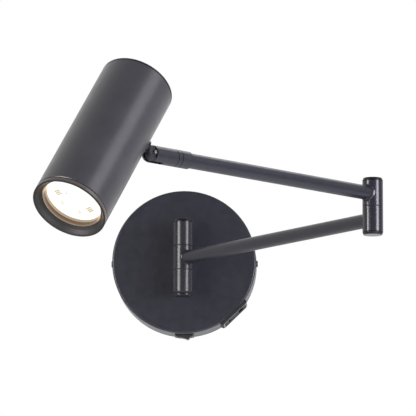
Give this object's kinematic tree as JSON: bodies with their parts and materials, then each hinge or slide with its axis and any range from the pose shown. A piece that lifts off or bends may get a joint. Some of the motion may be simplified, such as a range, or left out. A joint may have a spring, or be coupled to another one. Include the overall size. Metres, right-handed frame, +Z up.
{
  "type": "swing arm wall lamp",
  "caption": "Black wall lamp: round wall plate with rocker switch and USB sockets, two jointed arms on barrel hinges, and a tilting, swivelling tube spotlight",
  "frame": {"origin": "centre of the wall plate's back, on the wall", "axes": "+Z up, +Y into the wall, so the lamp stands out along -Y, +X to the right of someone facing it"},
  "size_m": [0.2496, 0.5136, 0.1504],
  "materials": {
    "black_paint": "satin black powder coat",
    "black_screw": "black oxide, slightly glossy",
    "zinc_plate": "zinc plated sheet steel",
    "plated_hardware": "nickel plated",
    "brass": "bright brass",
    "nylon_washer": "black nylon",
    "black_plastic": "fine matt moulding",
    "white_plastic": "natural moulding",
    "supply_case": "flame retardant moulding",
    "circuit_board": "green solder mask",
    "lamp_body": "white lamp housing",
    "lamp_lens": "frosted lens, lit",
    "lamp_pins": "turned",
    "ceramic": "unglazed"
  },
  "bodies": {
    "wall_base": {"canopy": "black_paint", "wall_bracket": "zinc_plate", "left_side_screw": "black_screw", "right_side_screw": "black_screw", "earth_screw": "brass", "terminal_block": "white_plastic", "terminal_screws": "brass", "usb_power_supply": "supply_case", "usb_module_housing": "black_plastic", "usb_circuit_board": "circuit_board", "usb_a_shell": "plated_hardware", "usb_a_tongue": "black_plastic", "usb_c_shell": "plated_hardware", "usb_c_tongue": "black_plastic", "switch_housing": "black_plastic", "switch_blades": "brass", "upper_post": "black_paint", "lower_post": "black_paint", "upper_post_nut": "plated_hardware", "lower_post_nut": "plated_hardware", "wall_barrel_upper": "black_paint", "wall_barrel_lower": "black_paint", "wall_barrel_top_cap": "black_paint", "wall_barrel_bottom_cap": "black_paint", "wall_pivot_tube": "brass", "wall_upper_washer": "nylon_washer", "wall_lower_washer": "nylon_washer"},
    "lower_arm": {"wall_barrel_middle": "black_paint", "lower_arm_tube": "black_paint", "elbow_lower_segment": "black_paint", "elbow_bottom_cap": "black_paint", "elbow_pivot_tube": "brass", "elbow_washer": "nylon_washer"},
    "upper_arm": {"elbow_upper_segment": "black_paint", "elbow_top_cap": "black_paint", "upper_arm_tube": "black_paint", "arm_end_collar": "black_paint", "swivel_nipple": "plated_hardware", "swivel_lock_ring": "black_paint"},
    "knuckle": {"swivel_fork": "black_paint", "tilt_screw": "black_screw", "tilt_nut": "plated_hardware"},
    "head": {"shade_tongue": "black_paint", "stud_nut": "plated_hardware", "shade_tube": "black_paint", "shade_end_cap": "black_plastic", "front_ring": "black_paint", "lamp_holder_strip": "zinc_plate", "lamp_holder": "ceramic", "lamp_holder_screws": "plated_hardware", "bulb_body": "lamp_body", "bulb_lens": "lamp_lens", "bulb_pins": "lamp_pins"},
    "rocker": {"switch_rocker": "black_plastic"}
  },
  "joints": [
    {"name": "wall_swing", "type": "hinge", "parent": "wall_base", "child": "lower_arm", "pos_m": [0, -0.0485, 0], "axis": [0, 0, 1], "range_deg": [-128.3, 51.7]},
    {"name": "elbow_swing", "type": "hinge", "parent": "lower_arm", "child": "upper_arm", "pos_m": [0.15494, -0.24469, 0], "axis": [0, 0, 1], "range_deg": [-65, 165]},
    {"name": "head_swivel", "type": "hinge", "parent": "upper_arm", "child": "knuckle", "pos_m": [-0.0072, -0.42164, 0.02], "axis": [-0.6756, -0.7373, 0], "range_deg": [-170, 170]},
    {"name": "head_tilt", "type": "hinge", "parent": "knuckle", "child": "head", "pos_m": [-0.0072, -0.42164, 0.02], "axis": [-0.731, 0.6698, -0.1305], "range_deg": [-127.7, 52.3]},
    {"name": "switch_rock", "type": "hinge", "parent": "wall_base", "child": "rocker", "pos_m": [0, -0.014, -0.0588], "axis": [0, -1, 0], "range_deg": [0, 24]}
  ]
}
